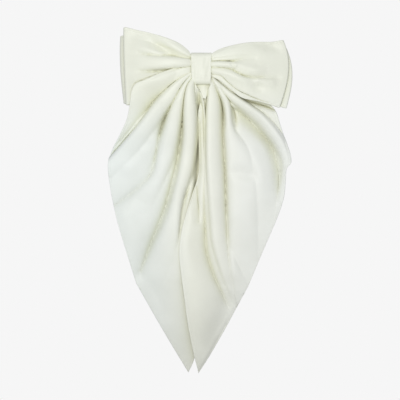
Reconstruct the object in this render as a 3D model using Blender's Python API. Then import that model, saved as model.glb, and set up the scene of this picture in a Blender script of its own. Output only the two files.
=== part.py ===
"""Satin hair bow with two long tails, sewn to a French barrette.

Frame: metres, +Z up, +X to the wearer's left as seen from the front, the front of the bow faces -Y.
The origin is the middle of the clasp arm's back face, which rests on the head behind the knot.
"""

import math

import bmesh
import bpy
from mathutils import Matrix, Vector

MM = 0.001

# ---------------------------------------------------------------- driving dimensions, in millimetres
GAP = 0.3  # clearance between neighbouring pieces
CLOTH = 1.2  # one sewn and turned strip of satin: two layers and the seam allowance

KNOT_WIDTH = 19.5
KNOT_HALF_HEIGHT = 15.2
KNOT_FRONT = -34.4
KNOT_BACK = -8.4
KNOT_CORNER = 2.5

FRONT_BOW_SKINS = (-31.0, -26.0)  # depth of a bow's front and back skin in the knot
BACK_BOW_SKINS = (-17.6, -14.6)
GATHERED = 0.25  # share of a loop's edge that stays in the knot
FLARED = 0.55  # from here on a loop keeps its own depth
FOLD_RADIUS = 1.6  # of the fold at a loop's end
LOOP_STEPS = 9
LOOP_COLUMNS = 5

TAIL_PIVOT = (8.0, -8.0)  # distance to the side, height
# at the knot the left tail lies before the left loop, and lower down behind the right tail
LEFT_TAIL_DEPTHS = (-30.5, -12.6)
RIGHT_TAIL_DEPTHS = (-20.9, -21.5)
DEPTH_CHANGE = (-38, -72)  # heights between which a tail goes from its first depth to its second
PLEAT_GATHER = (-12, -30)  # heights between which the pleats of the gathers rise
PLEAT_OPEN = (-45, -95)  # heights between which they deepen, as the cloth opens below the bows
PLEAT_FADE = (-105, -190)  # heights between which the deep pleats run out
PLEAT_RISE = (0.8, 2.5)  # height of the gathers' pleats, and what the open ones add to it
TAIL_PLEATS = 3.5
TAIL_ROWS = 17
TAIL_COLUMNS = 16

THREAD_RADIUS = 0.35
THREAD_SLACK = 0.15  # extra clearance where a thread turns a corner
THREAD_PITCH = 0.9
CINCH_TURNS = 5
CINCH_CORNER = 1.0
STITCHES = 14
STITCH_REACH = 1.8  # half height of a zigzag stitch
SEAM_MARGIN = 1.5  # from the seam's ends to the band's edges

PLATE_WIDTH = 9.0
PLATE_THICK = 0.8
PLATE_END = 40.0
PLATE_ARCH_HALF = 34.0
PLATE_ARCH = 6.4
PLATE_END_DEPTH = -5.2
SEW_HOLE_X = 28.0
SEW_HOLE_RADIUS = 1.0
PLATE_BORE = (-14, -3)  # where a cutter through the plate starts and ends
LUG_BORE = (-8, 8)

ARM_THICK = 0.9
ARM_WIDTH = 6.4
HINGE = (38.0, -2.0)  # the pin's axis in X and Y
PIN_RADIUS = 0.6
PIN_HEAD = 0.5  # how far the pin's heads stand out, and their thickness
LUG_RADIUS = 2.0
LUG_OUTER = 4.4
LUG_THICK = 0.8
KNUCKLE_INNER = 1.3  # half the space between the arm's knuckles, where the spring's eye sits
SPRING_THICK = 0.5
SPRING_EYE_HALF = 1.0
SPRING_HALF = 2.2
CATCH_X = (-39.4, -36.2)
CATCH_TAB_INNER = 1.9
CATCH_TAB_THICK = 0.6
CATCH_WEB_Y = (-4.5, -3.9)
EAR_Y = (-3.6, -3.0)
EAR_REACH = 6.3
TAB_TIP_Y = -0.2
WINDOW_CLEAR = 0.6  # between the catch and the ends of the arm's window
FRAME_RIM = 1.1
RIVET_X = -37.8
RIVET_HEAD = 1.2
RIVET_CHAMFER = 0.3

ROUND = 20  # sides of a small round piece
THREAD_SIDES = 6
SLIVER = 0.01  # keeps the faces of two joined solids out of one plane


# ---------------------------------------------------------------- helpers
def material(name, colour, roughness, metallic=0.0):
    made = bpy.data.materials.new(name)
    made.use_nodes = True
    shader = made.node_tree.nodes["Principled BSDF"]
    shader.inputs["Base Color"].default_value = (*colour, 1.0)
    shader.inputs["Roughness"].default_value = roughness
    shader.inputs["Metallic"].default_value = metallic
    return made


def spline(points, t):
    """A point at t, from 0 to 1, on the Catmull-Rom curve through the points."""
    last = len(points) - 1
    place = min(max(t, 0.0), 1.0) * last
    i = min(int(place), last - 1)
    f = place - i
    p0, p1 = Vector(points[max(i - 1, 0)]), Vector(points[i])
    p2, p3 = Vector(points[i + 1]), Vector(points[min(i + 2, last)])
    return 0.5 * (
        2 * p1
        + (p2 - p0) * f
        + (2 * p0 - 5 * p1 + 4 * p2 - p3) * f ** 2
        + (3 * p1 - p0 - 3 * p2 + p3) * f ** 3
    )


def mix(a, b, t):
    return a + (b - a) * t


def smooth(low, high, value):
    t = min(max((value - low) / (high - low), 0.0), 1.0)
    return t * t * (3 - 2 * t)


def placed(name, mesh, surface, origin, parent=None):
    """An object whose origin is at a point in millimetres, from a mesh in world millimetres."""
    mesh.transform(Matrix.Scale(MM, 4) @ Matrix.Translation(-Vector(origin)))
    mesh.materials.append(surface)
    obj = bpy.data.objects.new(name, mesh)
    bpy.context.scene.collection.objects.link(obj)
    obj.location = Vector(origin) * MM
    if parent:
        obj.parent = parent
        obj.location = Vector(origin) * MM - parent.location
    return obj


def mesh_from(bm, name, round_edges=None):
    bmesh.ops.recalc_face_normals(bm, faces=bm.faces)
    mesh = bpy.data.meshes.new(name)
    bm.to_mesh(mesh)
    bm.free()
    if round_edges:
        mesh.shade_smooth()
        mesh.set_sharp_from_angle(angle=math.radians(round_edges))
    return mesh


def prism(outline, axis, low, high):
    """A closed solid: an outline in the two other axes, in X, Y, Z order, extruded along axis."""
    bm = bmesh.new()
    corners = []
    for a, b in outline:
        place = [a, b]
        place.insert(axis, low)
        corners.append(bm.verts.new(place))
    face = bm.faces.new(corners)
    grown = bmesh.ops.extrude_face_region(bm, geom=[face])
    moved = [v for v in grown["geom"] if isinstance(v, bmesh.types.BMVert)]
    shift = Vector((0, 0, 0))
    shift[axis] = high - low
    bmesh.ops.translate(bm, verts=moved, vec=shift)
    return bm


def strip_outline(path, thickness):
    """The outline of a bent strip of even thickness along a flat path."""
    points = [Vector(p) for p in path]
    left, right = [], []
    for i, point in enumerate(points):
        along = points[min(i + 1, len(points) - 1)] - points[max(i - 1, 0)]
        side = Vector((-along.y, along.x)).normalized() * thickness / 2
        left.append(tuple(point + side))
        right.append(tuple(point - side))
    return left + right[::-1]


def turned(profile, sides, centre, axis):
    """A solid of revolution about an axis through centre, from rows of (radius, place along the axis)."""
    bm = bmesh.new()
    rings = []
    for radius, along in profile:
        ring = []
        for k in range(sides):
            angle = math.tau * k / sides
            place = [centre[0] + radius * math.cos(angle), centre[1] + radius * math.sin(angle)]
            place.insert(axis, along)
            ring.append(bm.verts.new(place))
        rings.append(ring)
    for low, high in zip(rings, rings[1:]):
        for k in range(sides):
            n = (k + 1) % sides
            bm.faces.new((low[k], low[n], high[n], high[k]))
    bm.faces.new(rings[0][::-1])
    bm.faces.new(rings[-1])
    return bm


def helper(name, bm):
    """A tool for a Boolean, which isn't part of the object."""
    obj = placed(name, mesh_from(bm, name), steel, (0, 0, 0))
    obj.hide_render = True
    obj.display_type = "WIRE"
    return obj


def bore(name, radius, reach, centre, axis):
    """A round cutter along an axis through centre."""
    return helper(name, turned([(radius, reach[0]), (radius, reach[1])], ROUND, centre, axis))


def combine(obj, other, operation):
    modifier = obj.modifiers.new(f"{operation.lower()}_{other.name}", "BOOLEAN")
    modifier.operation = operation
    modifier.object = other
    modifier.solver = "EXACT"


def cloth_sheet(name, rows, closed, surface, origin, parent=None, thickness=CLOTH):
    """Cloth from rows of points, made solid with Solidify. A closed sheet ends where it starts."""
    bm = bmesh.new()
    grid = [[bm.verts.new(p) for p in row] for row in rows]
    pairs = list(zip(grid, grid[1:]))
    if closed:
        pairs.append((grid[-1], grid[0]))
    for low, high in pairs:
        for a, b, c, d in zip(low, low[1:], high[1:], high):
            bm.faces.new((a, b, c, d))
    obj = placed(name, mesh_from(bm, name, round_edges=60), surface, origin, parent)
    solid = obj.modifiers.new("thickness", "SOLIDIFY")
    solid.thickness = thickness * MM
    solid.offset = 0.0
    return obj


def thread(name, path, surface, cyclic=False):
    """A round thread along a path in millimetres."""
    curve = bpy.data.curves.new(name, "CURVE")
    curve.dimensions = "3D"
    curve.bevel_depth = THREAD_RADIUS * MM
    curve.bevel_resolution = THREAD_SIDES // 2 - 2
    curve.use_fill_caps = not cyclic
    line = curve.splines.new("POLY")
    line.points.add(len(path) - 1)
    for point, place in zip(line.points, path):
        point.co = (*(Vector(place) * MM), 1.0)
    line.use_cyclic_u = cyclic
    curve.materials.append(surface)
    obj = bpy.data.objects.new(name, curve)
    bpy.context.scene.collection.objects.link(obj)
    return obj


def rounded_box_path(low, high, corner, per_corner):
    """Points round a rectangle with rounded corners, in two axes."""
    path = []
    centres = (
        (high[0] - corner, high[1] - corner, 0),
        (low[0] + corner, high[1] - corner, 1),
        (low[0] + corner, low[1] + corner, 2),
        (high[0] - corner, low[1] + corner, 3),
    )
    for a, b, quarter in centres:
        for k in range(per_corner + 1):
            angle = (quarter + k / per_corner) * math.pi / 2
            path.append((a + corner * math.cos(angle), b + corner * math.sin(angle)))
    return path


# ---------------------------------------------------------------- cloth
class Loop:
    """One side of a bow. Its top and bottom edges run from the middle of the knot to the end fold."""

    def __init__(self, side, top, bottom, bulge, skins, puff, fold_depth):
        self.top = [(side * x, z) for x, z in top]
        self.bottom = [(side * x, z) for x, z in bottom]
        self.side, self.bulge, self.skins = side, bulge, skins
        self.puff, self.fold_depth = puff, fold_depth

    def point(self, t, w, turn):
        """t runs from the knot to the end, w from the top edge down, turn from -1 (front) to 1 (back)."""
        top, bottom = spline(self.top, t), spline(self.bottom, t)
        flat = top.lerp(bottom, w)
        out = max(0.0, (t - GATHERED) / (1 - GATHERED))
        middle = mix(sum(self.skins) / 2, self.fold_depth, smooth(GATHERED, FLARED, t))
        flat_half = mix((self.skins[1] - self.skins[0]) / 2, FOLD_RADIUS, out)
        half = flat_half + self.puff * math.sin(math.pi * out) * (0.6 + 0.4 * math.sin(math.pi * w))
        reach = self.bulge * math.sin(math.pi * w) * t ** 2
        reach += FOLD_RADIUS * math.sqrt(1 - turn ** 2) * smooth(0.8, 1.0, t)
        return (flat.x + self.side * reach, middle + half * turn, flat.y)


def bow_ring(left, right):
    """Rows of points round a bow: out and back along the left loop, then the right one."""
    stations = []
    for loop in (left, right):
        out = [(loop, k / LOOP_STEPS, -1.0) for k in range(LOOP_STEPS + 1)]
        fold = [(loop, 1.0, turn) for turn in (-0.6, 0.0, 0.6)]
        back = [(loop, 1 - k / LOOP_STEPS, 1.0) for k in range(LOOP_STEPS + 1)]
        path = out + fold + back
        stations += path if loop is left else path[::-1][1:-1]
    shares = [j / LOOP_COLUMNS for j in range(LOOP_COLUMNS + 1)]
    return [[loop.point(t, w, turn) for w in shares] for loop, t, turn in stations]


def front_bow():
    """The upper bow. Its gathers fill the upper half of the knot, and the tails fill the lower half."""
    left = Loop(
        -1,
        top=[(0, 12.2), (10, 13), (25, 26), (49, 34.5), (71.5, 39.4)],
        bottom=[(0, 0), (10, -0.5), (25, -5), (47, -18), (69, -33)],
        bulge=0.5,
        skins=FRONT_BOW_SKINS,
        puff=1.8,
        fold_depth=-23.6,
    )
    right = Loop(
        1,
        top=[(0, 12.2), (10, 13.2), (25, 21.5), (50, 25.5), (75.5, 27)],
        bottom=[(0, 0), (10, -1), (25, -10), (48, -27), (72, -36)],
        bulge=7.0,
        skins=FRONT_BOW_SKINS,
        puff=3.2,
        fold_depth=-28.9,
    )
    return cloth_sheet("front_bow", bow_ring(left, right), True, satin, (0, FRONT_BOW_SKINS[0], 0))


def back_bow():
    """The lower bow, a little wider, behind the tails and against the barrette plate."""
    left = Loop(
        -1,
        top=[(0, 12.2), (10, 13), (26, 22), (50, 28), (76.3, 31.4)],
        bottom=[(0, -12.2), (10, -13), (26, -19), (49, -26), (74, -33)],
        bulge=2.0,
        skins=BACK_BOW_SKINS,
        puff=0.5,
        fold_depth=-16.0,
    )
    right = Loop(
        1,
        top=[(0, 12.2), (10, 13), (27, 20), (52, 24), (78, 26)],
        bottom=[(0, -12.2), (10, -13), (26, -20), (52, -29), (80, -36.6)],
        bulge=7.5,
        skins=BACK_BOW_SKINS,
        puff=0.5,
        fold_depth=-16.0,
    )
    return cloth_sheet("back_bow", bow_ring(left, right), True, satin, (0, BACK_BOW_SKINS[1], 0))


def tail_rows(outer, inner, depths):
    """Rows across a pleated tail from its outer edge to its inner one."""
    rows = []
    for i in range(TAIL_ROWS + 1):
        v = i / TAIL_ROWS
        a, b = spline(outer, v), spline(inner, v)
        row = []
        for j in range(TAIL_COLUMNS + 1):
            u = j / TAIL_COLUMNS
            flat = a.lerp(b, u)
            height = flat.y
            opened = smooth(*PLEAT_OPEN, height) * (1 - smooth(*PLEAT_FADE, height))
            depth = mix(*depths, smooth(*DEPTH_CHANGE, height))
            pleat = PLEAT_RISE[0] * smooth(*PLEAT_GATHER, height) + PLEAT_RISE[1] * opened
            row.append((flat.x, depth + pleat * math.cos(math.tau * TAIL_PLEATS * u), height))
        rows.append(row)
    return rows


def left_tail():
    outer = [
        (-5, -4.2), (-14, -4.5), (-40, -12), (-66, -28), (-83, -66), (-88.5, -92),
        (-84, -127), (-74, -165), (-61, -206), (-36, -248), (-12.8, -288),
    ]
    inner = [
        (-5, -11.8), (-11.5, -13.2), (-9.5, -22), (-7.5, -40), (-6, -75), (-6.5, -110),
        (-6, -145), (-5, -180), (-5.5, -215), (-7.5, -250), (-11.3, -288),
    ]
    rows = tail_rows(outer, inner, LEFT_TAIL_DEPTHS)
    pivot = (-TAIL_PIVOT[0], LEFT_TAIL_DEPTHS[0], TAIL_PIVOT[1])
    return cloth_sheet("left_tail", rows, False, satin, pivot)


def right_tail():
    outer = [
        (5, -4.2), (14, -4.5), (40, -16), (67, -36), (81, -66), (84.5, -90),
        (79, -125), (65, -158), (45, -205), (25, -246), (-1.6, -288.8),
    ]
    inner = [
        (5, -11.8), (11.5, -13.2), (8.5, -22), (1.5, -40), (-1.5, -75), (-3.5, -108),
        (-18.5, -140), (-20, -180), (-17.5, -215), (-11.5, -250), (-3.1, -288.8),
    ]
    rows = tail_rows(outer, inner, RIGHT_TAIL_DEPTHS)
    pivot = (TAIL_PIVOT[0], RIGHT_TAIL_DEPTHS[0], TAIL_PIVOT[1])
    return cloth_sheet("right_tail", rows, False, satin, pivot)


def knot_band():
    """The strip that wraps the gathers and the barrette plate."""
    half = CLOTH / 2
    low = (KNOT_FRONT + half, half - KNOT_HALF_HEIGHT)
    high = (KNOT_BACK - half, KNOT_HALF_HEIGHT - half)
    path = rounded_box_path(low, high, KNOT_CORNER, 4)
    columns = 4
    edge = KNOT_WIDTH / 2
    rows = [[(mix(-edge, edge, j / columns), y, z) for j in range(columns + 1)] for y, z in path]
    return cloth_sheet("knot_band", rows, True, satin, (0, KNOT_FRONT, 0))


# ---------------------------------------------------------------- threads
def cinch_thread():
    """Five turns round the gathered middle, under the band."""
    clear = GAP + THREAD_RADIUS + THREAD_SLACK
    off = CLOTH / 2 + clear
    reach = KNOT_HALF_HEIGHT - CLOTH - clear
    low = (FRONT_BOW_SKINS[0] - off, -reach)
    high = (BACK_BOW_SKINS[1] + off, reach)
    turn = rounded_box_path(low, high, CINCH_CORNER, 2)
    count = CINCH_TURNS * len(turn)
    start = -CINCH_TURNS * THREAD_PITCH / 2
    path = [(start + k / len(turn) * THREAD_PITCH, *turn[k % len(turn)]) for k in range(count)]
    return thread("cinch_thread", path, cotton)


def band_seam_thread():
    """Zigzag overcast stitches that close the band behind the plate."""
    depth = KNOT_BACK + GAP + THREAD_RADIUS
    reach = KNOT_WIDTH / 2 - SEAM_MARGIN
    path = [
        (mix(-reach, reach, k / STITCHES), depth, STITCH_REACH * (-1) ** k) for k in range(STITCHES + 1)
    ]
    return thread("band_seam_thread", path, cotton)


# ---------------------------------------------------------------- barrette
def plate_depth(x):
    """Depth of the plate's middle: arched away from the head between two flat ends."""
    if abs(x) >= PLATE_ARCH_HALF:
        return PLATE_END_DEPTH
    return PLATE_END_DEPTH - PLATE_ARCH * 0.5 * (1 + math.cos(math.pi * x / PLATE_ARCH_HALF))


def barrette_plate():
    low, high, steps = -PLATE_END - 1, PLATE_END, 36
    arch = [mix(-PLATE_ARCH_HALF, PLATE_ARCH_HALF, k / steps) for k in range(steps + 1)]
    path = [(x, plate_depth(x)) for x in [low] + arch + [high]]
    half = PLATE_WIDTH / 2
    plate = prism(strip_outline(path, PLATE_THICK), 2, -half, half)
    mesh = mesh_from(plate, "barrette_plate", 40)
    obj = placed("barrette_plate", mesh, steel, (0, plate_depth(0), 0))
    for name, sign in (("upper", 1), ("lower", -1)):
        near, far = sorted((sign * (LUG_OUTER - LUG_THICK), sign * LUG_OUTER))
        tip = [
            (HINGE[0] + LUG_RADIUS * math.cos(a), HINGE[1] + LUG_RADIUS * math.sin(a))
            for a in (math.pi * k / 10 for k in range(11))
        ]
        foot = PLATE_END_DEPTH - PLATE_THICK / 8
        outline = [(HINGE[0] + LUG_RADIUS, foot)] + tip + [(HINGE[0] - LUG_RADIUS, foot)]
        combine(obj, helper(f"lug_{name}", prism(outline, 2, near, far)), "UNION")
    combine(obj, bore("hinge_hole", PIN_RADIUS + GAP, LUG_BORE, HINGE, 2), "DIFFERENCE")
    for name, x, radius in (
        ("left_sew_hole", -SEW_HOLE_X, SEW_HOLE_RADIUS),
        ("right_sew_hole", SEW_HOLE_X, SEW_HOLE_RADIUS),
        ("rivet_hole", RIVET_X, PIN_RADIUS + GAP),
    ):
        combine(obj, bore(name, radius, PLATE_BORE, (x, 0), 1), "DIFFERENCE")
    return obj


def hinge_pin(parent):
    """A headed pin through both lugs, the arm's knuckles and the spring's eye."""
    head, out = PIN_RADIUS + PIN_HEAD, LUG_OUTER + GAP
    profile = [
        (head, -out - PIN_HEAD), (head, -out), (PIN_RADIUS, -out),
        (PIN_RADIUS, out), (head, out), (head, out + PIN_HEAD),
    ]
    bm = turned(profile, ROUND, HINGE, 2)
    return placed("hinge_pin", mesh_from(bm, "hinge_pin", 40), steel, (*HINGE, 0), parent)


def rolled_eye(start_x, centre_radius, start_angle, sweep, steps=14):
    """The flat path of a strip that comes from start_x and rolls clockwise round the hinge pin."""
    arc = []
    for k in range(steps + 1):
        angle = math.radians(start_angle - sweep * k / steps)
        x, y = centre_radius * math.cos(angle), centre_radius * math.sin(angle)
        arc.append((HINGE[0] + x, HINGE[1] + y))
    return [(start_x, arc[0][1])] + arc


def clasp_arm(parent):
    """The arm that closes under the hair: a strip, two knuckles on the pin and a frame at its free end."""
    half = ARM_WIDTH / 2
    frame_half = half + FRAME_RIM
    left, right = CATCH_X[0] - WINDOW_CLEAR, CATCH_X[1] + WINDOW_CLEAR
    frame_end, frame_start = left - FRAME_RIM, right + FRAME_RIM
    neck = frame_start + 1.5 * FRAME_RIM
    hinge_end = HINGE[0] - 2 * LUG_RADIUS
    outline = [
        (hinge_end, -half), (hinge_end, half), (neck, half), (frame_start, frame_half),
        (frame_end + FRAME_RIM, frame_half), (frame_end, half), (frame_end, -half),
        (frame_end + FRAME_RIM, -frame_half), (frame_start, -frame_half), (neck, -half),
    ]
    strip = prism(outline, 1, -ARM_THICK, 0)
    obj = placed("clasp_arm", mesh_from(strip, "clasp_arm", 40), steel, (*HINGE, 0), parent)
    roll = rolled_eye(hinge_end - LUG_RADIUS, LUG_RADIUS - ARM_THICK / 2, 90, 265)
    eye = strip_outline(roll, ARM_THICK - 2 * SLIVER)
    for name, sign in (("upper", 1), ("lower", -1)):
        low, high = sorted((sign * KNUCKLE_INNER, sign * (half - SLIVER)))
        combine(obj, helper(f"knuckle_{name}", prism(eye, 2, low, high)), "UNION")
    reach = CATCH_TAB_INNER + CATCH_TAB_THICK + GAP + THREAD_SLACK
    window = [(left, -reach), (left, reach), (right, reach), (right, -reach)]
    combine(obj, helper("arm_window", prism(window, 1, -2 * ARM_THICK, ARM_THICK)), "DIFFERENCE")
    return obj


def tension_spring(parent):
    """A thin leaf hooked on the hinge pin, which presses the hair against the arm."""
    eye_radius = PIN_RADIUS + GAP + SPRING_THICK / 2
    roll = rolled_eye(0, eye_radius, 150, 240)[1:]
    x0, y0 = roll[-1]
    leaf = [(x0, y0), (33.0, y0 - 0.3), (21.0, -4.8), (5.0, -6.4), (-12.0, -6.1), (-31.0, -4.3)]
    path = roll[:-1] + [tuple(spline(leaf, k / 20)) for k in range(21)]
    eye = prism(strip_outline(path, SPRING_THICK), 2, -SPRING_EYE_HALF, SPRING_EYE_HALF)
    obj = placed("tension_spring", mesh_from(eye, "tension_spring", 40), steel, (*HINGE, 0), parent)
    wide_path = [tuple(spline(leaf, mix(0.2, 0.985, k / 16))) for k in range(17)]
    wide = prism(strip_outline(wide_path, SPRING_THICK - 4 * SLIVER), 2, -SPRING_HALF, SPRING_HALF)
    combine(obj, helper("leaf_width", wide), "UNION")
    return obj


def catch_plate(parent):
    """The web of the catch, riveted to the plate's free end."""
    half = CATCH_TAB_INNER - GAP
    low, high = CATCH_X[0] - WINDOW_CLEAR, CATCH_X[1] + WINDOW_CLEAR
    bm = prism([(low, -half), (low, half), (high, half), (high, -half)], 1, *CATCH_WEB_Y)
    mesh = mesh_from(bm, "catch_plate")
    obj = placed("catch_plate", mesh, steel, (RIVET_X, CATCH_WEB_Y[0], 0), parent)
    combine(obj, bore("web_hole", PIN_RADIUS + GAP, PLATE_BORE, (RIVET_X, 0), 1), "DIFFERENCE")
    return obj


def catch_rivet(parent):
    """A rivet with a domed head before the plate and a flatter one behind the web."""
    head, cut = RIVET_HEAD, RIVET_CHAMFER
    front = PLATE_END_DEPTH - PLATE_THICK / 2 - GAP
    back = CATCH_WEB_Y[1] + GAP
    profile = [
        (head - cut, front - 2 * cut), (head, front - cut), (head, front), (PIN_RADIUS, front),
        (PIN_RADIUS, back), (head, back), (head, back + cut / 2), (head - cut, back + 1.5 * cut),
    ]
    bm = turned(profile, ROUND, (RIVET_X, 0), 1)
    return placed("catch_rivet", mesh_from(bm, "catch_rivet", 40), steel, (RIVET_X, front, 0), parent)


def catch_tab(name, sign, parent):
    """A springy prong of the catch with an ear at its side. Squeezing both ears frees the frame."""
    foot = CATCH_WEB_Y[0]
    near, far = CATCH_TAB_INNER, CATCH_TAB_INNER + CATCH_TAB_THICK
    outline = [
        (foot, near), (foot, far), (EAR_Y[0], far), (EAR_Y[0], EAR_REACH),
        (EAR_Y[1], EAR_REACH), (EAR_Y[1], far), (TAB_TIP_Y, far), (TAB_TIP_Y, near),
    ]
    bm = prism([(y, sign * z) for y, z in outline], 0, *CATCH_X)
    pivot = (sum(CATCH_X) / 2, foot, sign * (near + far) / 2)
    return placed(name, mesh_from(bm, name), steel, pivot, parent)


# ---------------------------------------------------------------- build
for old in list(bpy.data.objects):
    bpy.data.objects.remove(old)

satin = material("ivory_satin", (0.86, 0.87, 0.76), 0.42)
cotton = material("ivory_thread", (0.85, 0.84, 0.76), 0.7)
steel = material("nickel_steel", (0.72, 0.72, 0.74), 0.28, 1.0)

front_bow()
back_bow()
left_tail()
right_tail()
knot_band()
cinch_thread()
band_seam_thread()

plate_object = barrette_plate()
hinge_pin(plate_object)
clasp_arm(plate_object)
tension_spring(plate_object)
catch_plate(plate_object)
catch_rivet(plate_object)
catch_tab("upper_catch_tab", 1, plate_object)
catch_tab("lower_catch_tab", -1, plate_object)
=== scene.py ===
"""The looks of the satin hair bow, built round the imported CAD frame.

X runs to the right, Z up and -Y to the viewer, from the clasp's back face behind the middle of the knot.
Cloth is laid out in millimetres and its meshes are made in metres. Lights, floor and camera are in metres.
"""

import math

import bmesh
import bpy
import numpy as np
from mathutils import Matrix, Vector


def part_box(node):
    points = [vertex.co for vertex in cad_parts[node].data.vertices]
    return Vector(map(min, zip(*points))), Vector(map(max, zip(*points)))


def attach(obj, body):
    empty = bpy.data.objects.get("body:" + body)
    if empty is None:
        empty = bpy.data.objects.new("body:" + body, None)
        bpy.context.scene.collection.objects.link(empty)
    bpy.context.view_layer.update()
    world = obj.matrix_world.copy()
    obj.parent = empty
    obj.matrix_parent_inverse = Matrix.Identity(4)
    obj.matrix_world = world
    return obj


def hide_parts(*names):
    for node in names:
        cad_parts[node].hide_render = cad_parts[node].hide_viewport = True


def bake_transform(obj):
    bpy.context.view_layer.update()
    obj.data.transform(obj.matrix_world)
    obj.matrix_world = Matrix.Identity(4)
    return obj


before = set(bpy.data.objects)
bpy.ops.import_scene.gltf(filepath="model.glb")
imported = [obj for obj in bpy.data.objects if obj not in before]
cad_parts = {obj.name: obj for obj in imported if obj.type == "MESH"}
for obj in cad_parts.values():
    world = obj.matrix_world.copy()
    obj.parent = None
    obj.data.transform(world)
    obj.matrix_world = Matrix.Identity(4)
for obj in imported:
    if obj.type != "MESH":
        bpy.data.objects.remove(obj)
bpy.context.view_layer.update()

MM = 0.001
CLOTH = 1.3  # thickness of a sewn and turned strip: two layers of satin with a little air between them
KNOT_CLOTH = 1.2  # the same, pulled tight in the knot band
HEM_ROUND = 0.7  # the hem rounds over along this share of the thickness
SEAM_INSET = 2.6  # the turned edge inside the hem ends this far in, in a faint groove
SEAM_WIDTH = 0.6
SEAM_DEPTH = 0.22  # share of the thickness
PUCKER_FADE = 2.5  # the hem's small waves fade over this distance

MERGE = 5  # how firmly tubes that meet keep to the higher one instead of adding up
CREASE_FADE = 1.3  # how steeply a crease's sides rise, per width

LOOP_ROWS, LOOP_COLUMNS = 90, 84
BACK_BOW_ROOT = (-18, -13.5)  # Y of the back bow's front and back layer where the thread gathers them
TIGHT_FOLD = 0.8  # radius of a loop's end that lies pressed flat
FOLDS_END = 0.86  # the folds die out between this share of a loop's length and its end
LOOP_SLACK = 1.6  # how far a loop's back layer hangs out of its straight line
BACK_SHARE = 0.25  # share of the front's folds that shows on the back layer too

TAIL_ROWS, TAIL_COLUMNS = 290, 150
TAIL_SMOOTHING = 12  # rounds of averaging that take the corners off a tail's depth

KNOT_CORNER = 3.8  # radius of the knot band's four corners
KNOT_PUFF = 1.3  # how far the middle of its front stands out
KNOT_STEPS, KNOT_COLUMNS = 240, 44

# the stage is in metres
KEY_PLACE = (-0.08, -0.62, 0.0)
KEY_TARGET = (0, 0, -0.09)
KEY_SIZE = 0.3
KEY_POWER = 1.97  # watts
FLOOR_HEIGHT = -0.40
FLOOR_RADIUS = 0.42
CAMERA_AIM = (-0.0012, -0.028, -0.1245)  # the middle of the bow's front
CAMERA_DISTANCE = 1.0556
FOCAL_LENGTH, SENSOR_WIDTH = 100, 36  # both in millimetres

STEEL_NODES = (
    "barrette_plate", "hinge_pin", "clasp_arm", "tension_spring",
    "catch_plate", "catch_rivet", "upper_catch_tab", "lower_catch_tab",
)
THREAD_NODES = ("cinch_thread", "band_seam_thread")


# ---------------------------------------------------------------- curves
def smooth_points(points, per_span=14):
    """Catmull-Rom points through the control points, in every column they have."""
    p = np.array(points, float)
    p = np.vstack([2 * p[0] - p[1], p, 2 * p[-1] - p[-2]])
    f = np.linspace(0, 1, per_span, endpoint=False)[:, None]
    spans = []
    for a, b, c, d in zip(p, p[1:], p[2:], p[3:]):
        third, second = 3 * b - a - 3 * c + d, 2 * a - 5 * b + 4 * c - d
        spans.append((third * f ** 3 + second * f ** 2 + (c - a) * f + 2 * b) / 2)
    return np.vstack(spans + [p[-2:-1]])


def along(points, places):
    """Points on the smooth curve at these shares of its length in X and Z, the first two columns."""
    dense = smooth_points(points)
    steps = np.linalg.norm(np.diff(dense[:, :2], axis=0), axis=1)
    length = np.concatenate([[0], np.cumsum(steps)])
    return np.stack([np.interp(places * length[-1], length, column) for column in dense.T], axis=-1)


def between(first, second, shares):
    """Rows of points between two edge curves: first[i] to second[i], at these shares."""
    return first[:, None] + (second - first)[:, None] * shares[None, :, None]


def eased(count, ease=0.8):
    """count + 1 places from 0 to 1, close together at both ends where a hem rounds over."""
    s = np.linspace(0, 1, count + 1)
    return s - ease * np.sin(2 * np.pi * s) / (2 * np.pi)


def smooth(low, high, value):
    """0 at low, 1 at high and an even slope between them."""
    t = np.clip((value - low) / (high - low), 0, 1)
    return t * t * (3 - 2 * t)


# ---------------------------------------------------------------- folds
# A fold is its kind, its line and its lean. A positive lean makes the side to the left of the line's run
# narrow and steep and the other side wide. A negative lean does the opposite.
def tube(line, lean=0.0):
    """A rounded fold that stands up from the cloth. Its line holds (X, Z, rise, half width)."""
    return "tube", line, lean


def swell(line):
    """A soft bump, or with a negative rise a soft hollow. Its line holds (X, Z, rise, width)."""
    return "swell", line, 0.0


def crease(line, lean=0.0):
    """A valley with a sharp bottom. Its line holds (X, Z, depth, width)."""
    return "crease", line, lean


def from_line(x, z, line):
    """Each point's distance from a fold's line, its side of it, and the rise and width there."""
    path = smooth_points(line, 6)
    start, step = path[:-1], np.diff(path, axis=0)
    off_x, off_z = x[..., None] - start[:, 0], z[..., None] - start[:, 1]
    share = np.clip((off_x * step[:, 0] + off_z * step[:, 1]) / (step[:, :2] ** 2).sum(1), 0, 1)
    gap_x, gap_z = off_x - share * step[:, 0], off_z - share * step[:, 1]
    gap = gap_x ** 2 + gap_z ** 2
    near = gap.argmin(axis=-1)[..., None]
    share, gap, turn = (
        np.take_along_axis(values, near, -1)[..., 0]
        for values in (share, gap, gap_x * -step[:, 1] + gap_z * step[:, 0])
    )
    near = near[..., 0]
    rise, width = (start[near, column] + share * step[near, column] for column in (2, 3))
    return np.sqrt(gap), np.sign(turn), rise, width


def fold_height(x, z, folds):
    """How far the folds push each point forward."""
    soft, rounds = np.zeros_like(x), np.zeros_like(x)
    for kind, line, lean in folds:
        gap, side, rise, width = from_line(x, z, line)
        reach = gap * (1 + lean * side) / width
        if kind == "tube":
            rounds += np.maximum(rise * np.maximum(0, 1 - reach ** 3), 0) ** MERGE
        elif kind == "crease":
            soft -= rise * np.exp(-CREASE_FADE * reach)
        else:
            soft += rise * np.exp(-(reach ** 2))
    return soft + rounds ** (1 / MERGE)


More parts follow.
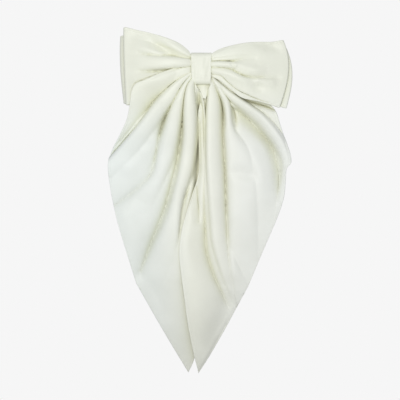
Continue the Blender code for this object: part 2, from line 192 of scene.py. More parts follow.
# ---------------------------------------------------------------- cloth
def edge_distance(grid):
    """Each point's distance along the cloth to the nearest border."""
    nearest = np.full(grid.shape[:2], np.inf)
    for axis in (0, 1):
        steps = np.linalg.norm(np.diff(grid, axis=axis), axis=2)
        zero = np.zeros_like(steps.take([0], axis=axis))
        walked = np.concatenate([zero, np.cumsum(steps, axis=axis)], axis=axis)
        total = walked.take([-1], axis=axis)
        nearest = np.minimum(nearest, np.minimum(walked, total - walked))
    return nearest


def normals(grid):
    """The unit normal of the cloth at each point of the grid."""
    across, down = np.gradient(grid, axis=0), np.gradient(grid, axis=1)
    normal = np.cross(across, down)
    return normal / np.maximum(np.linalg.norm(normal, axis=2, keepdims=True), 1e-9)


def quads(ids):
    """Faces between neighbouring rows and columns of point numbers."""
    return np.stack([ids[:-1, :-1], ids[1:, :-1], ids[1:, 1:], ids[:-1, 1:]], axis=-1).reshape(-1, 4)


def cloth_mesh(name, front, back):
    """A closed mesh of two grids in millimetres, which share the points along their border."""
    rows, columns = front.shape[:2]
    front_id = np.arange(rows * columns).reshape(rows, columns)
    inside = np.zeros((rows, columns), bool)
    inside[1:-1, 1:-1] = True
    back_id = front_id.copy()
    back_id[inside] = rows * columns + np.arange(inside.sum())
    points = np.vstack([front.reshape(-1, 3), back[inside]])
    faces = np.vstack([quads(front_id), quads(back_id)[:, ::-1]])
    mesh = bpy.data.meshes.new(name)
    mesh.from_pydata((points * MM).tolist(), [], faces.tolist())
    bm = bmesh.new()
    bm.from_mesh(mesh)
    if bm.calc_volume(signed=True) < 0:
        bmesh.ops.reverse_faces(bm, faces=bm.faces)
    bm.to_mesh(mesh)
    bm.free()
    mesh.shade_smooth()
    return mesh


def cloth_piece(name, grid, thickness=CLOTH, pucker=0.12):
    """A satin piece round a grid of middle points, with hems that round over and pucker a little."""
    normal = normals(grid)
    edge = edge_distance(grid)
    hem = np.sqrt(1 - (1 - np.clip(edge / (HEM_ROUND * thickness), 0, 1)) ** 2)
    groove = 1 - SEAM_DEPTH * np.exp(-(((edge - SEAM_INSET) / SEAM_WIDTH) ** 2))
    half = (thickness / 2 * hem * groove)[..., None] * normal
    x, z = grid[..., 0], grid[..., 2]
    wave = np.sin(x * 1.9 + z * 2.3) + np.sin(z * 1.3 - x * 0.8)
    grid = grid + (pucker * wave * np.exp(-edge / PUCKER_FADE) * smooth(0, 1.0, edge))[..., None] * normal
    piece = bpy.data.objects.new(name, cloth_mesh(name, grid + half, grid - half))
    bpy.context.scene.collection.objects.link(piece)
    piece.data.materials.append(satin)
    return piece


# ---------------------------------------------------------------- materials
def node_maker(tree):
    """A function that adds a node to the tree, with its inputs linked or set."""

    def make(kind, inputs=None, **settings):
        node = tree.nodes.new(kind)
        for key, value in settings.items():
            setattr(node, key, value)
        for key, value in (inputs or {}).items():
            if isinstance(value, bpy.types.NodeSocket):
                tree.links.new(value, node.inputs[key])
            else:
                node.inputs[key].default_value = value
        return node

    return make


def new_material(name, shader_inputs):
    """A material with one principled shader. shader_inputs(make) builds the nodes that feed it."""
    made = bpy.data.materials.new(name)
    made.use_nodes = True
    made.node_tree.nodes.clear()
    make = node_maker(made.node_tree)
    shader = make("ShaderNodeBsdfPrincipled", shader_inputs(make))
    make("ShaderNodeOutputMaterial", {"Surface": shader.outputs["BSDF"]})
    return made


def colour_ramp(make, value, *stops):
    """A colour ramp through (position, colour) stops."""
    ramp = make("ShaderNodeValToRGB", {"Fac": value})
    points = ramp.color_ramp.elements
    while len(points) < len(stops):
        points.new(0.5)
    for point, (position, colour) in zip(points, stops):
        point.position = position
        point.color = (*colour, 1)
    return ramp.outputs["Color"]


def mixed(make, share, first, second, **settings):
    """Two colours mixed. The inputs go by number, since the node has several of each name."""
    return make("ShaderNodeMix", {0: share, 6: first, 7: second}, data_type="RGBA", **settings).outputs[2]


def mapped(make, value, **ends):
    """The value moved from one range to another."""
    inputs = {key.replace("_", " ").title(): end for key, end in ends.items()}
    return make("ShaderNodeMapRange", {"Value": value, **inputs}).outputs["Result"]


def bumped(make, height, strength, depth, **inputs):
    """The shading normal over a height pattern, with depth in metres."""
    inputs.update({"Height": height, "Strength": strength, "Distance": depth})
    return make("ShaderNodeBump", inputs).outputs["Normal"]


def ivory_with_painted_light_tint(make, x, z):
    """The ivory under painted light: a painted warm light tint at the bow and near the middle, and painted
    cooler light out along the tails.
    """
    # painted light: the ivory goes from painted warm light near the middle to painted cooler light out
    # along both tails, coolest to the left
    tails = colour_ramp(
        make,
        mapped(make, x, from_min=-0.09, from_max=0.09),
        (0.0, (0.81, 0.852, 0.825)),
        (0.27, (0.825, 0.855, 0.815)),
        (0.45, (0.85, 0.86, 0.77)),
        (0.58, (0.85, 0.86, 0.785)),
        (0.72, (0.84, 0.855, 0.81)),
        (1.0, (0.835, 0.855, 0.82)),
    )
    # the ivory under painted warm light at the bow, which takes over towards the bow
    bow = (0.84, 0.855, 0.755, 1)
    near_bow = mapped(make, z, from_min=-0.07, from_max=-0.02)
    return mixed(make, near_bow, tails, bow)


def satin_colour(make, place, mottle):
    """The strip's ivory with its painted light tint, painted shade that makes it greyer towards the ends
    of the tails, a little uneven tone, and painted shade that makes it darker and warmer deep in the
    folds.
    """
    split = make("ShaderNodeSeparateXYZ", {"Vector": place}).outputs
    colour = ivory_with_painted_light_tint(make, split["X"], split["Z"])
    # painted shade: the tails grow greyer towards their ends, where less light falls
    painted_tip_shade = colour_ramp(
        make,
        mapped(make, split["Z"], from_min=-0.29, from_max=-0.10),
        (0.0, (0.82, 0.82, 0.825)),
        (0.45, (0.95, 0.95, 0.945)),
        (1.0, (1, 1, 1)),
    )
    uneven = colour_ramp(make, mottle, (0.3, (0.96, 0.96, 0.95)), (0.7, (1.0, 1.0, 1.0)))
    # painted shade: where the ambient occlusion finds the cloth closed in, deep in folds and under
    # overlapping layers, the colour is darkened and turned olive
    open_air = make("ShaderNodeAmbientOcclusion", {"Distance": 0.02}, samples=8).outputs["AO"]
    painted_fold_shade = colour_ramp(
        make, open_air, (0.1, (0.67, 0.65, 0.53)), (0.42, (0.92, 0.915, 0.83)), (0.92, (1.0, 1.0, 1.0))
    )
    for shade in (painted_tip_shade, uneven, painted_fold_shade):
        colour = mixed(make, 1.0, colour, shade, blend_type="MULTIPLY")
    return colour


def satin_inputs(make):
    """Ivory satin with a soft sheen, a fine weave and a faint crumple."""
    place = make("ShaderNodeTexCoord").outputs["Object"]
    mottle = make("ShaderNodeTexNoise", {"Vector": place, "Scale": 38.0, "Detail": 3.0}).outputs["Fac"]
    threads = {"Vector": place, "Scale": 900.0, "Distortion": 1.5, "Detail": 1.0}
    weave = make("ShaderNodeTexWave", threads, bands_direction="DIAGONAL").outputs["Fac"]
    dents = {"Vector": place, "Scale": 120.0, "Detail": 4.0, "Roughness": 0.55}
    crumple = make("ShaderNodeTexNoise", dents).outputs["Fac"]
    soft = bumped(make, crumple, strength=0.12, depth=0.0006)
    return {
        "Base Color": satin_colour(make, place, mottle),
        "Roughness": mapped(make, mottle, to_min=0.42, to_max=0.5),
        "Normal": bumped(make, weave, strength=0.10, depth=0.00005, Normal=soft),
        "Specular IOR Level": 0.4,
    }


def steel_inputs(make):
    """Nickel-plated steel with fine drawn lines along the strip and faint smudges."""
    place = make("ShaderNodeTexCoord").outputs["Object"]
    drawn = make("ShaderNodeMapping", {"Vector": place, "Scale": (60.0, 900.0, 900.0)}).outputs["Vector"]
    lines = make("ShaderNodeTexNoise", {"Vector": drawn, "Scale": 1.0, "Detail": 3.0}).outputs["Fac"]
    smudge = make("ShaderNodeTexNoise", {"Vector": place, "Scale": 140.0, "Detail": 2.0}).outputs["Fac"]
    return {
        "Base Color": colour_ramp(make, lines, (0, (0.58, 0.57, 0.56)), (1, (0.74, 0.73, 0.71))),
        "Roughness": mapped(make, smudge, to_min=0.2, to_max=0.36),
        "Metallic": 1.0,
        "Normal": bumped(make, lines, strength=0.15, depth=0.00005),
    }


def thread_inputs(make):
    """Twisted cotton thread."""
    place = make("ShaderNodeTexCoord").outputs["Object"]
    wave = {"Vector": place, "Scale": 1400.0, "Distortion": 2.0}
    twist = make("ShaderNodeTexWave", wave, bands_direction="DIAGONAL").outputs["Fac"]
    return {
        "Base Color": colour_ramp(make, twist, (0, (0.68, 0.67, 0.58)), (1, (0.84, 0.83, 0.74))),
        "Roughness": 0.75,
        "Normal": bumped(make, twist, strength=0.4, depth=0.0001),
    }


def paper_inputs(make):
    """Matt pale paper with a little grain."""
    grain = make("ShaderNodeTexNoise", {"Scale": 300.0}).outputs["Fac"]
    return {
        "Base Color": (0.9, 0.9, 0.9, 1),
        "Roughness": 0.8,
        "Normal": bumped(make, grain, strength=0.05, depth=0.0005),
    }


satin = new_material("ivory_satin", satin_inputs)
steel = new_material("nickel_steel", steel_inputs)
cotton = new_material("ivory_thread", thread_inputs)


# ---------------------------------------------------------------- bows
def loop_grid(top, bottom, folds, side, bulge, root, crest, end, radius):
    """A grid over one loop: out along its front, round the fold at its end and back along its back.

    side is -1 for a loop to the left, and bulge is how far the end bows out past its corners. The rest is
    depth: root holds the Y of the front and back layers at the knot, crest is the Y of the puffed front,
    end is the Y of the fold at the end and radius is that fold's."""
    front, back = root
    out = eased(LOOP_ROWS, 0.5)
    shares = eased(LOOP_COLUMNS)
    flat = between(along(top, out), along(bottom, out), shares)
    t = np.broadcast_to(out[:, None], flat.shape[:2])
    w = np.broadcast_to(shares[None, :], flat.shape[:2])
    x = flat[..., 0] + side * bulge * np.sin(np.pi * w ** 0.85) * t ** 2
    z = flat[..., 1]
    dome = np.sin(np.pi * np.clip(w, 0, 1)) ** 0.7
    push = fold_height(x, z, folds) * (1 - smooth(FOLDS_END, 1.0, t))
    front_base = front + (end - radius - front) * t ** 1.5
    puff = (crest - front) * np.sin(np.pi * t ** 0.75) * (0.3 + 0.7 * dome)
    front_rows = np.stack([x, front_base + puff - push, z], axis=-1)
    rim = front_rows[-1]
    end_rows = [
        rim + np.array([side * radius * math.cos(angle), radius * (1 + math.sin(angle)), 0])
        for angle in np.linspace(-math.pi / 2, math.pi / 2, 11)[1:-1]
    ]
    back_base = back + (end + radius - back) * smooth(0.1, 1, t)
    slack = LOOP_SLACK * np.sin(np.pi * smooth(0, 1, t)) * (0.6 + 0.4 * dome)
    back_rows = np.stack([x, back_base + slack + BACK_SHARE * push, z], axis=-1)[::-1]
    return np.concatenate([front_rows, end_rows, back_rows])


def bow_loop(name, node, **shape):
    """One loop of a bow, which stands for its side of the CAD bow."""
    piece = cloth_piece(name, loop_grid(**shape))
    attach(piece, "bow_body")
    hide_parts(node)


def front_bow_left():
    top = [
        (-6, 10), (-9.8, 13), (-12.6, 17), (-20, 23), (-27.8, 26.8), (-39, 31), (-50.6, 34.6),
        (-62, 37.4), (-71.5, 40),
    ]
    bottom = [(-6, -6), (-14, -8), (-30, -13.5), (-45, -20), (-58, -26.5), (-69, -34)]
    folds = [
        # the fold along the top edge, and the hollow and the crease under it
        tube(
            [(-8, 11, 1, 1.4), (-18.3, 18, 1.6, 4), (-32, 26, 2.4, 6), (-50, 32, 1.4, 6),
             (-66, 36, 0.2, 6)],
        ),
        swell(
            [(-67, 33, -1.4, 4.6), (-52, 30.6, -2.4, 4.6), (-38, 20.6, -4, 5), (-30, 15.4, -3.4, 3.8),
             (-20, 12, -1.6, 2), (-11, 9.4, -0.6, 1.6)],
        ),
        swell([(-66, 22, 0.4, 5), (-54, 18.4, 1.6, 4), (-42, 15.4, 0.8, 2), (-34, 14, 0, 2)]),
        crease(
            [(-60, 15.6, 0.8, 2), (-50, 13, 2.4, 1.4), (-40, 11.8, 3, 1.2), (-30, 12.4, 3.4, 1.8),
             (-19, 10.2, 2.4, 1), (-9, 9, 1, 0.8)],
        ),
        # the middle fold and the crease under it
        tube([(-64, 6, 0.6, 8), (-49, 5.6, 1.8, 8), (-30, 6, 2, 6.4), (-9, 6, 1, 4)]),
        crease(
            [(-58, -2.4, 1.4, 3), (-44, -2.4, 4, 2.1), (-33, -1.4, 4, 1.7), (-18.3, 0.8, 1.6, 1),
             (-9, 2, 0.6, 1)],
            lean=0.1,
        ),
        # the dent where the tail's upper edge lies on the loop
        crease(
            [(-23, 1.6, 1, 0.8), (-31, -1, 1.4, 0.8), (-45, -7, 1.6, 0.9), (-56, -11.4, 2, 0.9),
             (-64, -15.6, 2, 0.9), (-68, -29, 1.6, 0.9)],
        ),
        # the puffed cloth below
        swell([(-66, -16, 1.5, 9), (-50, -10, 1.6, 5)]),
    ]
    bow_loop(
        "front_bow_left_loop", "front_bow", top=top, bottom=bottom, folds=folds,
        side=-1, bulge=0.6, root=(-30.5, -22.5), crest=-35.5, end=-24, radius=2.2,
    )


def front_bow_right():
    top = [
        (6, 11), (10.2, 14), (14, 16.6), (21.6, 19.8), (33, 22.6), (44.4, 24.7), (56, 25.6), (67, 25.8),
        (76.6, 27.4),
    ]
    bottom = [
        (6, -6.6), (10, -8), (16, -10.6), (22, -15.2), (29, -20.8), (37.5, -27.2), (46, -29.6), (54, -31),
        (64, -33.6), (73.2, -36.6),
    ]
    folds = [
        # the crease above, the small lump under it and the creases below
        crease(
            [(8, 7, 0.6, 1), (18, 6.8, 2, 1), (27, 6.8, 4, 1.2), (32, 7, 3, 1.8), (40, 9, 1.8, 3),
             (50, 9.4, 1.2, 4)],
        ),
        tube([(9, 4, 1, 2.2), (18, 4, 1.6, 2.8), (26, 3.4, 1.6, 3), (31, 2.6, 1, 3)]),
        crease(
            [(8, 0.8, 0.6, 1), (20, 0.6, 1.4, 0.9), (28, -1, 3, 1.1), (34, -4.4, 4, 1.2),
             (41, -7.4, 5, 1.3), (49, -8.4, 3.4, 1.9), (60, -8.6, 2.6, 2.6), (75, -9, 1.6, 4)],
            lean=-0.15,
        ),
        crease([(29, 4, 0.8, 0.9), (31, -1, 1.6, 0.9)]),
        # the puffed cloth above, between and below
        tube([(9, 11.4, 0.6, 2), (20, 14, 1, 4), (36, 17.6, 1, 6), (54, 19.6, 0.3, 8)]),
        swell([(33, 3.6, 1.6, 2.4), (44, 0, 1.6, 4), (53, -2, 2.2, 4), (62, 0, 0.6, 6)]),
        swell([(10, -1.6, 0.6, 1.6), (24, -5, 1.4, 3), (36, -9.6, 2.4, 4.4), (46, -14.6, 1.4, 6)]),
        swell([(42, -16, -0.4, 4), (52, -17, -2, 5), (60, -22, -0.4, 5)]),
        swell([(54, -11.4, 2, 3.4), (66, -13, 1.6, 5)]),
        swell([(48, 24, -0.4, 3), (62, 22, -1.8, 5), (74, 20, -1.8, 5)]),
        # the lower layer, which shows as a strip along the bottom
        crease(
            [(8, -4.8, 0.6, 0.8), (18.5, -7, 1.4, 0.8), (24.4, -12.2, 2, 0.9), (34, -20, 1.8, 0.9),
             (45.8, -25.6, 2, 0.9), (58, -30.4, 1.8, 0.8), (70, -34, 0.6, 0.8)],
        ),
    ]
    bow_loop(
        "front_bow_right_loop", "front_bow", top=top, bottom=bottom, folds=folds,
        side=1, bulge=6.6, root=(-31.5, -24), crest=-35.5, end=-27.3, radius=TIGHT_FOLD,
    )


def back_bow_left():
    top = [(-6, 11), (-10, 13), (-24, 22), (-50, 30), (-73.4, 33.6)]
    bottom = [(-6, -11), (-10, -12), (-26, -19), (-50, -27), (-70.2, -31.6)]
    folds = [
        swell([(-9, 3, 1, 1.4), (-34, 6, 2, 4), (-66, 8, 0.5, 8)]),
        swell([(-9, -3, -1, 1.4), (-34, -6, -1.8, 4), (-64, -9, -0.4, 7)]),
    ]
    bow_loop(
        "back_bow_left_loop", "back_bow", top=top, bottom=bottom, folds=folds,
        side=-1, bulge=1.6, root=BACK_BOW_ROOT, crest=-22, end=-12, radius=4,
    )


def back_bow_right():
    top = [(6, 11), (10, 13), (27, 20), (52, 24), (76.4, 26.2)]
    bottom = [(6, -11), (10, -12), (27, -20), (52, -29), (80, -37)]
    folds = [
        swell([(9, 3, 1, 1.4), (34, 6, 2, 4), (66, 6, 0.5, 8)]),
        swell([(9, -3, -1, 1.4), (34, -7, -1.8, 4), (64, -12, -0.4, 7)]),
    ]
    bow_loop(
        "back_bow_right_loop", "back_bow", top=top, bottom=bottom, folds=folds,
        side=1, bulge=7.4, root=BACK_BOW_ROOT, crest=-23, end=-24.2, radius=TIGHT_FOLD,
    )


# ---------------------------------------------------------------- tails
def tail(node, outer, inner, hem, depth, folds):
    """A long tail between its outer and inner edge.

    hem is how far its slanted end bows out, in X and Z. depth lists (Z, Y) from the knot to the tip."""
    v = eased(TAIL_ROWS, 0.45)
    u = eased(TAIL_COLUMNS)
    flat = between(along(outer, v), along(inner, v), u)
    flat += np.array(hem) * (v[:, None] ** 6 * np.sin(np.pi * u))[..., None]
    x, z = flat[..., 0], flat[..., 1]
    heights, ys = np.array(sorted(depth)).T
    y = np.interp(z, heights, ys)
    for _ in range(TAIL_SMOOTHING):
        y[1:-1] = (y[:-2] + y[1:-1] + y[2:]) / 3
    grid = np.stack([x, y - fold_height(x, z, folds), z], axis=-1)
    piece = cloth_piece(node + "_cloth", grid)
    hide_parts(node)
    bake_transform(piece)


def left_tail():
    outer = [
        (-6, 3), (-13.6, 2.8), (-23, 1.4), (-31.4, -1.5), (-45.6, -7.5), (-55, -11.6), (-62, -14.4),
        (-66, -21), (-67.4, -30), (-70.6, -46), (-77.6, -61), (-85.5, -76), (-89.4, -90), (-87.6, -112),
        (-81.5, -142), (-72.4, -173), (-62.6, -204.6),
    ]
    inner = [
        (-5, -11), (-5, -17), (0, -24), (3, -36), (4, -60), (4, -110), (0, -150), (-2, -200), (-4, -255),
        (-6.6, -277), (-12.4, -291),
    ]
    folds = [
        # the upper panel lies over the loop, and slopes back to a valley beside the long ridge
        swell(
            [(-12, 1, 1, 3), (-24, -3, 3, 5), (-40, -9, 5, 8), (-55, -15, 4, 9), (-64, -26, 2, 9),
             (-70, -46, 0, 9)],
        ),
        crease(
            [(-10, -1, 0.6, 1), (-23, -11, 0.8, 1.6), (-36, -22, 3, 2.4), (-46.4, -32, 8.6, 3.8),
             (-59.4, -50.4, 7.4, 3), (-75.6, -69.4, 7.6, 2.8), (-90.6, -86, 6, 2.8)],
            lean=0.6,
        ),
        tube(
            [(-10, -5, 2, 2), (-20.7, -13.4, 3, 4), (-35, -29, 3.6, 7.8), (-53.5, -50, 4, 8.5),
             (-70, -70, 3, 9), (-92, -92, 1.5, 9)],
            lean=-0.25,
        ),
        # the second valley, which turns outwards, and its ridge
        crease(
            [(-11, -7, 1, 1), (-18.3, -16, 2, 1.4), (-25.2, -28.6, 2.6, 1.6), (-33, -42, 8, 2.4),
             (-36.8, -51, 9, 3), (-39.6, -60, 7.5, 2.8), (-41.8, -69, 3.6, 2.6), (-44, -84, 5, 3.2),
             (-48.4, -99, 6.4, 3.8), (-59, -111, 4, 4), (-74, -123, 3.4, 4), (-88, -133, 3, 5)],
        ),
        tube(
            [(-10, -8, 2, 1.6), (-17, -18, 3, 3.2), (-24.6, -39, 4, 7), (-29, -60, 4, 8.6),
             (-34, -80, 4, 9), (-43, -101, 3, 9), (-58, -126, 0.5, 12)],
        ),
        # the deep third valley, and the ridge along the inner side
        crease(
            [(-12, -12, 0.4, 1), (-15.4, -25, 0.6, 1.4), (-16.8, -40, 2, 2), (-19.4, -60, 5.6, 2.8),
             (-22.6, -82, 6, 3), (-28, -105, 5.6, 3.2), (-34.6, -130, 8, 4.6), (-42, -150, 8, 5.4),
             (-50.6, -171, 8.6, 6.8), (-58.6, -193, 6, 9)],
        ),
        tube(
            [(-8, -10, 2, 1.6), (-11.6, -20, 4.4, 4.2), (-12.2, -40, 6, 6.6), (-11.8, -60, 6.5, 7),
             (-13.8, -80, 6.5, 7.4), (-17.4, -100, 6, 7.2), (-23, -120, 5, 6.4), (-27.6, -140, 4.4, 7.8),
             (-34.4, -160, 3.6, 10), (-42, -180, 1.6, 12), (-54, -202, 0.2, 12)],
            lean=-0.22,
        ),
        # the inner margin turns back beyond a crease
        swell(
            [(-3.4, -20, -1, 2), (-2.4, -29, -6, 2.6), (-1, -50, -8, 3.6), (-2, -80, -8, 4),
             (-3.6, -100, -7, 4), (-4, -114, -4, 4), (-5, -130, -1, 4)],
        ),
        crease(
            [(-9, -98, 1, 1.6), (-12.4, -110, 4, 2.2), (-16, -122, 4.6, 2.2), (-18.4, -133, 4, 1.8),
             (-20.2, -148, 2.6, 1.4), (-21.4, -160, 0.5, 1)],
        ),
        # room for the deep valley of the other tail, which lies in front here
        swell([(-3, -112, -3, 5), (-2, -140, -5.4, 7), (1, -175, -7, 7), (-1, -205, -2, 7)]),
        # broad unevenness of the lower cloth
        swell([(-56, -80, 2, 8), (-69, -93, 2, 8)]),
        swell([(-18, -148, 1.4, 7), (-19, -168, 3, 8), (-20, -190, 2.5, 10), (-21, -206, 0.4, 12)]),
        swell([(-72, -140, 2, 10), (-62, -170, 1, 10)]),
        swell([(-58, -201, -1, 7), (-46, -214, -3, 10), (-36, -232, -1.5, 10)]),
    ]
    depth = [
        (5, -30), (-12, -31.5), (-30, -30), (-45, -26), (-80, -18.5), (-120, -16), (-200, -16.6),
        (-290, -11),
    ]
    tail("left_tail", outer, inner, (-0.5, -0.3), depth, folds)


def right_tail():
    outer = [
        (6, 0), (12, -4), (25, -13), (45, -25), (62, -31.5), (71, -39.6), (75.6, -53), (80.5, -67.5),
        (85, -81), (85.6, -89), (81.4, -95), (80.6, -108), (78.6, -124), (71.7, -144), (58.8, -174.2),
        (46, -204.6),
    ]
    inner = [
        (6, -11), (8.3, -17.6), (1.8, -26), (-2.4, -37), (-3.2, -50), (-2.4, -77), (-2.2, -94),
        (-4.6, -107), (-8, -117), (-11.6, -128), (-15.4, -140), (-18.8, -154), (-21.2, -174),
        (-19.3, -196), (-16.4, -217), (-13, -243), (-8.2, -268), (-2.6, -291.2),
    ]
    folds = [
        # the ridge nearest the gap, with a valley on each side
        crease(
            [(6, -24, 0.2, 1), (4.4, -32, 1, 1.2), (2.6, -44, 3, 2.4), (2, -60, 3, 3), (2.6, -90, 1.4, 3),
             (3, -118, 3.6, 4), (3.6, -148, 7.6, 5.4), (5, -174, 9, 6), (12, -197, 8.4, 6),
             (20, -215, 6, 6), (27, -230, 0.5, 6)],
        ),
        tube(
            [(8, -10, 3, 1.8), (9.2, -23, 4, 4.8), (8.5, -40, 4.6, 6.2), (8.6, -77, 5, 6.6),
             (10, -105, 5, 7), (12.4, -140, 4.6, 7), (15, -166, 4, 7), (23, -192, 3, 7.4),
             (35, -220, 0.5, 8)],
            lean=-0.45,
        ),
        crease(
            [(13.6, -18, 1.4, 1), (19, -30, 3.4, 1.3), (21.2, -42, 5.6, 1.9), (21, -60, 5, 3),
             (22.2, -75, 6.4, 3.8), (23.4, -100, 7, 4.2), (24.2, -135, 7, 4.4), (25.4, -165, 6, 4.4),
             (28, -192, 3, 4.4), (32, -214, 1, 4)],
            lean=0.62,
        ),
        # the inner margin turns back beside the gap, and lower down lies flat on the other tail
        swell(
            [(-4, -46, -1, 3), (-3.4, -58, -5, 4), (-3, -90, -6, 4.4), (-4.4, -110, -5.4, 5),
             (-5, -126, -3.6, 6), (-3, -144, -1.6, 5)],
        ),
        crease([(-4.2, -112, 1.6, 1.6), (-2.8, -130, 3.2, 2), (-1.8, -146, 1.4, 2.6)]),
        swell([(-6, -108, -0.6, 4), (-11, -126, -1.6, 4), (-15, -142, -1.4, 4), (-18, -156, -0.4, 4)]),
        # the short ridge beyond, and the slash beside it
        tube(
            [(10, -8, 2, 1.4), (18, -20, 4, 2.6), (24.6, -34, 4.6, 3.4), (26.4, -50, 4.4, 3.6),
             (28, -62, 3.6, 6.4), (33.4, -80, 3, 12), (38, -110, 2.4, 14), (39, -150, 2, 15),
             (40, -190, 0, 14)],
        ),
        crease(
            [(19, -19, 1, 1), (27, -32, 0.4, 1), (31, -38, 4.4, 1.6), (32.8, -47, 5, 2),
             (33, -57, 0.8, 2.6)],
        ),
        # the long ridge that sweeps round the outer side, and the smaller ridge above it
        tube(
            [(9, -6, 2, 1.4), (14, -13, 3.4, 2.6), (26, -24, 4.4, 4), (35, -30.5, 5, 4.6),
             (47, -40, 5.5, 5.6), (58.6, -50, 6, 6.8), (67.8, -60, 6, 6.8), (75.6, -71, 5, 6.4),
             (82, -84, 4, 6.4), (82, -98, 3, 5.4), (79, -124, 1, 6)],
        ),
        tube(
            [(12, -6, 0.6, 2.6), (17, -11, 1.2, 3), (25, -18, 2, 3.2), (32, -24.6, 2.4, 3),
             (39, -30, 1, 2.4)],
        ),
        # the creases above the long ridge and along it, and the valley inside it
        crease(
            [(32, -23, 1.4, 1.2), (44, -29.6, 4.4, 1.8), (54, -32.6, 5.8, 1.8), (62, -35, 6, 1.8),
             (70, -38.6, 3, 2)],
        ),
        crease(
            [(60, -44, 1, 1.6), (70, -55, 1.6, 1.6), (77.5, -66, 1, 1.6), (82.5, -78, 0.6, 1.6),
             (86, -88, 0.2, 1.6)],
        ),
        crease(
            [(34, -38, 6, 4), (44, -45, 6.4, 4.6), (52, -51, 6.4, 5), (59.4, -60, 6, 5),
             (67, -70, 5.6, 5), (71.6, -81, 5, 5), (74, -95, 4.6, 5), (74, -110, 4, 5),
             (72, -126, 1.5, 5)],
            lean=0.35,
        ),
        swell(
            [(38, -44, -3, 7), (53, -55, -5, 7), (66, -71, -5, 6), (72.6, -90, -4, 6), (75, -112, -2, 6)],
        ),
        # broad unevenness of the lower cloth
        swell([(34, -98, -1.8, 6), (46, -100, -1.8, 6)]),
        swell([(48, -78, 1.4, 7), (56, -100, 2, 8), (58, -122, 1, 9)]),
        swell(
            [(-13, -150, 0.6, 6), (-14, -175, 2.4, 8), (-8, -205, 3, 14), (-4, -235, 4, 18),
             (-2, -268, 4, 16)],
        ),
        swell([(30, -210, -3, 12), (27, -231, -8, 14), (14, -257, -5, 12)]),
        # the hem along the bottom turns back a little
        swell([(47, -206, -0.6, 2), (22, -249, -1.4, 2), (-1, -289, -1.6, 2)]),
    ]
    depth = [(5, -28), (-14, -28.5), (-30, -26), (-60, -23), (-110, -22), (-200, -20), (-290, -14)]
    tail("right_tail", outer, inner, (1.5, -0.9), depth, folds)


def tails_join():
    """The short stretch of the strip that shows under the knot, where one tail turns into the other."""
    level = -28  # the Y at which the right tail leaves the knot
    shares = eased(24)
    under_knot = along([(-8.6, -10), (10, -10)], shares)
    fork = along([(1.0, -28), (4.4, -28.6)], shares)
    flat = between(under_knot, fork, shares)
    x, z = flat[..., 0], flat[..., 1]
    bulge = 0.6 * np.exp(-(((x - 2.5) / 3) ** 2))
    piece = cloth_piece("tails_join", np.stack([x, level - bulge, z], axis=-1), pucker=0.05)
    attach(piece, "bow_body")


# ---------------------------------------------------------------- knot
def knot_ring(low, high):
    """Evenly spaced (Y, Z) points round the middle of the band's cloth, from its box in millimetres."""
    inset = KNOT_CORNER + KNOT_CLOTH / 2
    front, back, top = low[1] + inset, high[1] - inset, high[2] - inset
    path = [
        (y + KNOT_CORNER * math.sin(angle), z + KNOT_CORNER * math.cos(angle))
        for quarter, (y, z) in enumerate([(back, top), (back, -top), (front, -top), (front, top)])
        for angle in (quarter + np.linspace(0, 1, 7)) * math.pi / 2
    ]
    closed = np.array(path + path[:1])
    walked = np.concatenate([[0], np.cumsum(np.linalg.norm(np.diff(closed, axis=0), axis=1))])
    places = np.linspace(0, walked[-1], KNOT_STEPS + 1)
    return np.stack([np.interp(places, walked, column) for column in closed.T], axis=-1)


def knot_band_cloth():
    """The band wrapped round the middle: a ring of cloth, a little puffed in front, with soft creases."""
    low, high = (np.array(corner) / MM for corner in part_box("knot_band"))
    half_width, top = (high[0] - low[0]) / 2, high[2]
    across = (eased(KNOT_COLUMNS, 0.85) * 2 - 1) * half_width
    ring = knot_ring(low, high)
    y, x = np.meshgrid(ring[:, 0], across, indexing="ij")
    z = np.broadcast_to(ring[:, 1:], x.shape)
    facing = smooth(low[1] + 4, low[1], y)
    puff = KNOT_PUFF * facing * np.cos(np.pi / 2 * z / top) * (1 - (x / half_width) ** 2)
    creases = 0.12 * facing * (np.sin(x * 0.9 + z * 0.10) + 0.6 * np.sin(x * 1.5 - z * 0.3 + 1))
    low_fold = 0.35 * facing * np.exp(-(((z + 8 + 0.1 * x) / 1.6) ** 2))
    taper = 1 + facing * (0.03 * z / top - 0.06 * smooth(0.4 * top, top, -z) - 0.02)
    grid = np.stack([x * taper, y - puff - creases - low_fold, z], axis=-1)
    piece = cloth_piece("knot_band_cloth", grid, thickness=KNOT_CLOTH, pucker=0.1)
    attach(piece, "bow_body")
    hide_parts("knot_band")


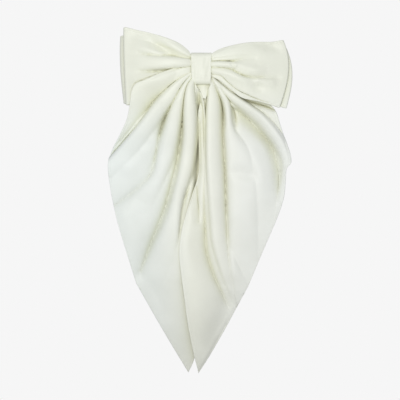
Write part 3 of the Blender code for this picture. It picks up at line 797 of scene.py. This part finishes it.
# ---------------------------------------------------------------- stage
def world_light():
    """A light tent that lights the bow a little less from below. The camera sees a plain pale backdrop."""
    world = bpy.data.worlds.new("light_tent")
    bpy.context.scene.world = world
    world.use_nodes = True
    world.node_tree.nodes.clear()
    make = node_maker(world.node_tree)
    direction = make("ShaderNodeTexCoord").outputs["Generated"]
    height = make("ShaderNodeSeparateXYZ", {"Vector": direction}).outputs["Z"]
    glow = mapped(make, height, from_min=-1.0, from_max=1.0, to_min=0.43, to_max=0.53)
    lit = make("ShaderNodeBackground", {"Color": (0.97, 0.985, 1.0, 1), "Strength": glow})
    seen = make("ShaderNodeBackground", {"Color": (0.922, 0.922, 0.922, 1), "Strength": 1.0})
    ray = make("ShaderNodeLightPath").outputs["Is Camera Ray"]
    both = {0: ray, 1: lit.outputs["Background"], 2: seen.outputs["Background"]}
    make("ShaderNodeOutputWorld", {"Surface": make("ShaderNodeMixShader", both).outputs["Shader"]})


def key_light():
    """One soft square lamp in front of the bow and a little to the left."""
    lamp = bpy.data.lights.new("key", "AREA")
    lamp.shape = "SQUARE"
    lamp.size = KEY_SIZE
    lamp.energy = KEY_POWER
    lamp.color = (1.0, 0.995, 0.98)
    key = bpy.data.objects.new("key", lamp)
    bpy.context.scene.collection.objects.link(key)
    key.location = KEY_PLACE
    key.rotation_euler = (Vector(KEY_TARGET) - Vector(KEY_PLACE)).to_track_quat("-Z", "Y").to_euler()
    key.visible_camera = False


def pale_floor():
    """A round sheet of paper below the tails."""
    mesh = bpy.data.meshes.new("pale_floor")
    bm = bmesh.new()
    bmesh.ops.create_circle(bm, cap_ends=True, segments=96, radius=FLOOR_RADIUS)
    bm.to_mesh(mesh)
    bm.free()
    floor = bpy.data.objects.new("pale_floor", mesh)
    bpy.context.scene.collection.objects.link(floor)
    floor.location.z = FLOOR_HEIGHT
    mesh.materials.append(new_material("pale_paper", paper_inputs))


def front_camera():
    """A camera straight in front of the bow."""
    lens = bpy.data.cameras.new("front_camera")
    lens.lens = FOCAL_LENGTH
    lens.sensor_width = SENSOR_WIDTH
    camera = bpy.data.objects.new("front_camera", lens)
    bpy.context.scene.collection.objects.link(camera)
    camera.location = Vector(CAMERA_AIM) - Vector((0, CAMERA_DISTANCE, 0))
    camera.rotation_euler = (math.pi / 2, 0, 0)
    bpy.context.scene.camera = camera


# ---------------------------------------------------------------- build
front_bow_left()
front_bow_right()
back_bow_left()
back_bow_right()
left_tail()
right_tail()
tails_join()
knot_band_cloth()

for node in STEEL_NODES:
    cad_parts[node].data.materials[0] = steel
for node in THREAD_NODES:
    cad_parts[node].data.materials[0] = cotton

bpy.context.scene.view_settings.view_transform = "Standard"
world_light()
key_light()
pale_floor()
front_camera()

bpy.context.view_layer.update()
